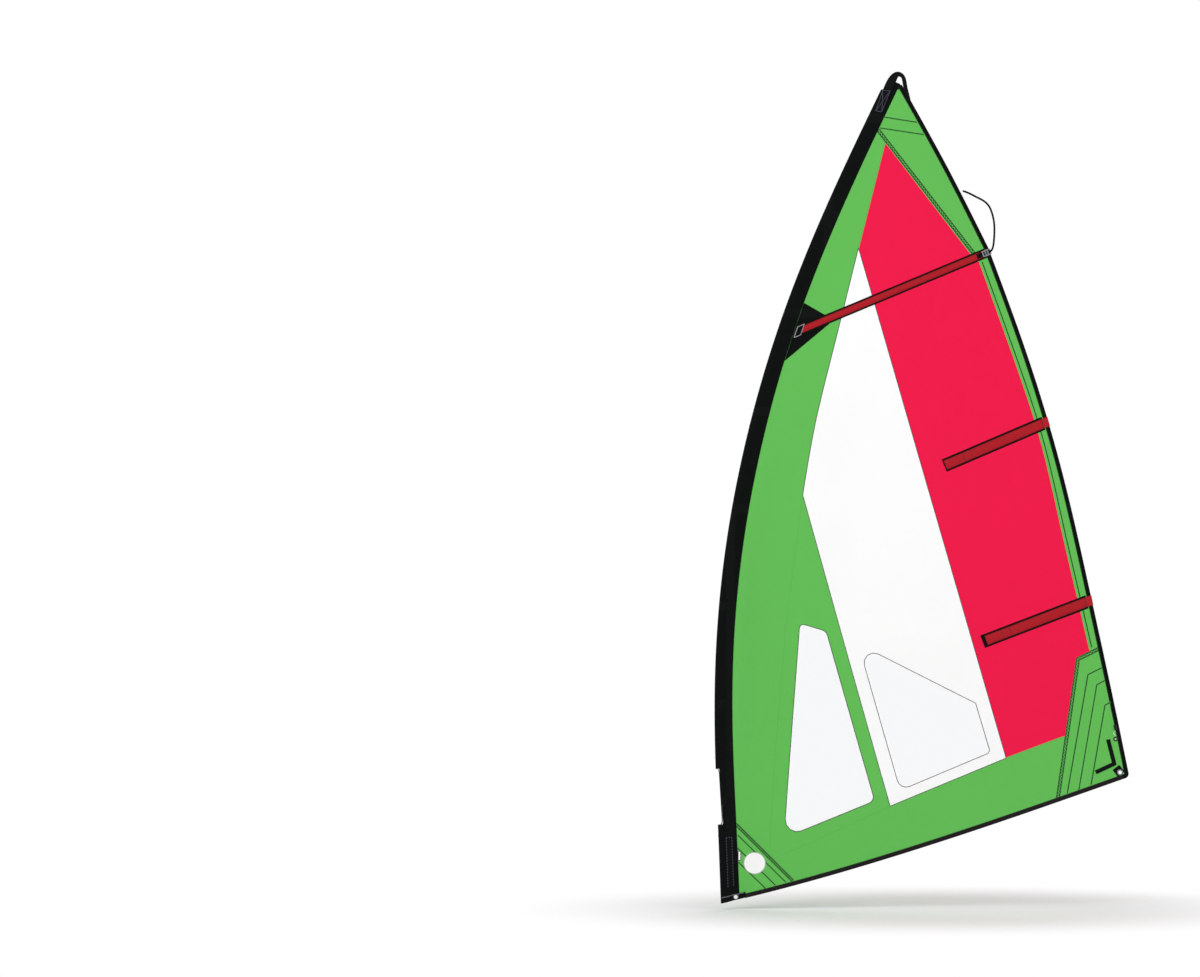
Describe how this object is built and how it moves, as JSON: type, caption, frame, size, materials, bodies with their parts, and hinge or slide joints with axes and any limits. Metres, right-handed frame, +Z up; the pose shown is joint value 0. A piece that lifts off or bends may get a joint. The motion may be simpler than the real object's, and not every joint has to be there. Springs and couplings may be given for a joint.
{
  "type": "windsurf sail",
  "caption": "Rigged windsurf sail with a luff sleeve for the mast, clear windows, battens in pockets, a batten tensioner, clew and tack rings and a head webbing loop.",
  "frame": {"origin": "the mast's axis at the mouth of the luff sleeve", "axes": "+Z up the luff to the head, +X aft to the clew, -Y out of the front face, +Y the belly's side"},
  "size_m": [2.1217, 0.1016, 4.2609],
  "materials": {
    "sleeve_cloth": "black woven polyester of the luff sleeve",
    "edge_tape": "black folded edge tape and pocket tape",
    "foot_tape": "brown-black foot tape",
    "green_cloth": "green resin-coated woven polyester",
    "white_cloth": "white resin-coated woven polyester",
    "red_cloth": "red resin-coated woven polyester",
    "window_film": "clear polyester film",
    "pocket_cloth": "dark red pocket cloth",
    "flap_cloth": "dark red closure flap",
    "glass_fibre": "pale glass-fibre batten",
    "elastic": "black covered elastic",
    "webbing": "black woven webbing",
    "grey_plastic": "grey moulded plastic",
    "steel_ring": "pressed stainless steel ring",
    "black_plastic": "black moulded plastic",
    "white_line": "thin white braided line"
  },
  "bodies": {
    "sail": {"batten_nose_patch": "edge_tape", "batten_nose_pocket": "edge_tape", "boom_cutout_panel": "sleeve_cloth", "buckle_anchor": "webbing", "care_label": "white_cloth", "clew_panel": "green_cloth", "clew_patch_large": "green_cloth", "clew_patch_middle": "green_cloth", "clew_patch_small": "green_cloth", "clew_ring": "steel_ring", "clew_square_patch": "webbing", "clew_strap": "webbing", "cutout_piping": "edge_tape", "foot_panel": "green_cloth", "foot_tape": "foot_tape", "front_window": "window_film", "front_window_panel": "green_cloth", "front_window_tape": "white_cloth", "head_gusset": "sleeve_cloth", "head_panel": "green_cloth", "head_patch_large": "green_cloth", "head_patch_small": "green_cloth", "head_webbing_anchor": "webbing", "head_webbing_loop": "webbing", "leech_line": "white_line", "leech_line_cleat": "black_plastic", "leech_line_eyelet": "black_plastic", "leech_line_tail": "white_line", "leech_panel": "green_cloth", "leech_tape": "edge_tape", "low_batten_pocket": "pocket_cloth", "low_elastic_stop": "elastic", "low_pocket_backing": "edge_tape", "luff_panel": "green_cloth", "luff_sleeve_lower": "sleeve_cloth", "luff_sleeve_middle": "sleeve_cloth", "luff_sleeve_upper": "sleeve_cloth", "mid_batten_pocket": "pocket_cloth", "mid_elastic_stop": "elastic", "mid_pocket_backing": "edge_tape", "rear_window": "window_film", "rear_window_tape": "white_cloth", "red_panel": "red_cloth", "sail_disc": "white_cloth", "sleeve_mouth_band": "edge_tape", "tack_patch_large": "green_cloth", "tack_patch_middle": "green_cloth", "tack_patch_small": "green_cloth", "tack_ring": "steel_ring", "tack_webbing": "webbing", "top_batten_pocket": "pocket_cloth", "top_pocket_backing": "edge_tape", "white_panel": "white_cloth"},
    "top_batten": {"top_batten": "glass_fibre"},
    "tension_buckle": {"tension_buckle": "grey_plastic", "tension_strap_tail": "webbing"},
    "mid_batten": {"mid_batten": "glass_fibre"},
    "low_batten": {"low_batten": "glass_fibre"},
    "mid_flap": {"mid_pocket_flap": "flap_cloth"},
    "low_flap": {"low_pocket_flap": "flap_cloth"}
  },
  "joints": [
    {"name": "top_batten_tension", "type": "slide", "parent": "sail", "child": "top_batten", "axis": [0.9231, 0, 0.3845], "range_m": [0, 0.012]},
    {"name": "buckle_tilt", "type": "hinge", "parent": "sail", "child": "tension_buckle", "pos_m": [1.31305, -0.0092, 3.32477], "axis": [0.3845, 0, -0.9231], "range_deg": [0, 40]},
    {"name": "mid_batten_push", "type": "slide", "parent": "sail", "child": "mid_batten", "axis": [-0.9199, 0, -0.3923], "range_m": [0, 0.012], "stiffness_N_per_m": 300, "springref_m": -0.01},
    {"name": "low_batten_push", "type": "slide", "parent": "sail", "child": "low_batten", "axis": [-0.934, 0, -0.3573], "range_m": [0, 0.012], "stiffness_N_per_m": 300, "springref_m": -0.01},
    {"name": "mid_flap_open", "type": "hinge", "parent": "sail", "child": "mid_flap", "pos_m": [1.65121, -0.00365, 2.47036], "axis": [-0.2823, 0, 0.9593], "range_deg": [0, 150]},
    {"name": "low_flap_open", "type": "hinge", "parent": "sail", "child": "low_flap", "pos_m": [1.87455, -0.00365, 1.55505], "axis": [-0.2144, 0, 0.9767], "range_deg": [0, 150]}
  ]
}
